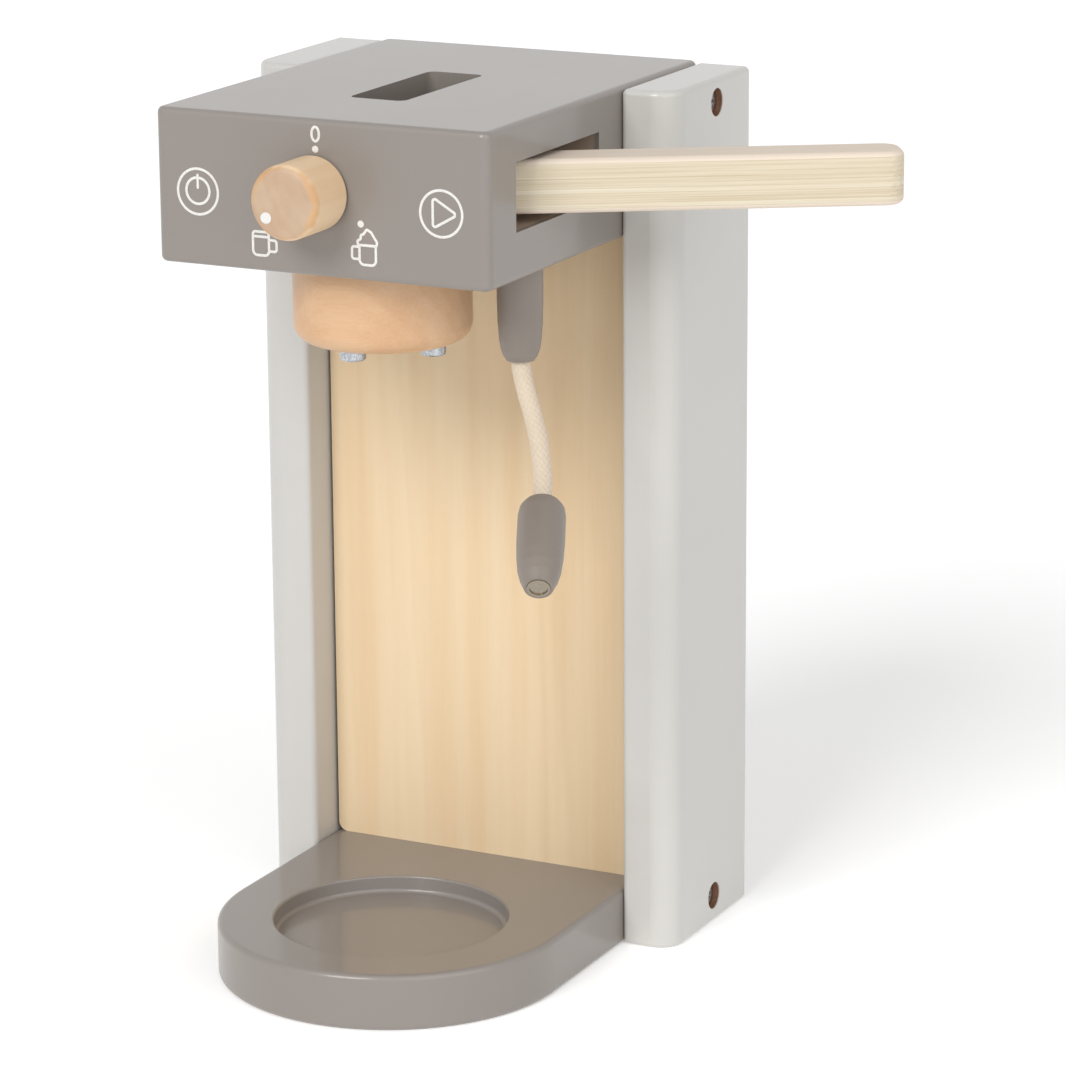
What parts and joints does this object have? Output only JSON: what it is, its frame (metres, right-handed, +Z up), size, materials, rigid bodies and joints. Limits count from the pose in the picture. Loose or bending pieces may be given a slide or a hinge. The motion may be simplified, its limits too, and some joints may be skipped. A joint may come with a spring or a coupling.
{
  "type": "toy coffee maker",
  "caption": "Wooden toy coffee maker with a base for a cup, a head with a swinging lever and a turning knob, a pod slot and a steam nozzle on a rope.",
  "frame": {"origin": "on the floor, on the underside of the base, on the centre plane and level with the front of the posts", "axes": "+X to the right seen from the front, -Y out of the front, +Z up"},
  "size_m": [0.2395, 0.179, 0.3],
  "materials": {
    "light_paint": "matt pale grey lacquer on wood",
    "taupe_paint": "matt warm grey lacquer on wood",
    "panel_wood": "clear matt lacquer",
    "beech": "oiled",
    "plywood": "sanded, clear matt lacquer",
    "cotton": "braided cotton",
    "zinc": "zinc plated",
    "nylon": "plain"
  },
  "bodies": {
    "stand": {"base_plate": "taupe_paint", "left_post": "light_paint", "right_post": "light_paint", "back_panel": "panel_wood", "head_floor": "taupe_paint", "head_frame": "taupe_paint", "head_top": "taupe_paint", "lever_pivot": "beech", "lever_washers": "nylon", "group_head": "beech", "group_head_screws": "zinc", "wand_ferrule": "taupe_paint", "steam_rope": "cotton", "steam_nozzle": "taupe_paint", "nozzle_insert": "zinc", "post_screws": "zinc", "head_dowels": "beech", "base_dowels": "beech", "panel_dowels": "beech"},
    "lever": {"lever_arm": "plywood"},
    "knob": {"knob": "beech", "knob_screw": "zinc", "knob_washer": "zinc"}
  },
  "joints": [
    {"name": "lever_swing", "type": "hinge", "parent": "stand", "child": "lever", "pos_m": [0.0345, -0.067, 0.276], "axis": [0, 0, 1], "range_deg": [-30, 18]},
    {"name": "knob_turn", "type": "hinge", "parent": "stand", "child": "knob", "pos_m": [-0.0017, -0.0965, 0.2763], "axis": [0, -1, 0], "continuous": true}
  ]
}
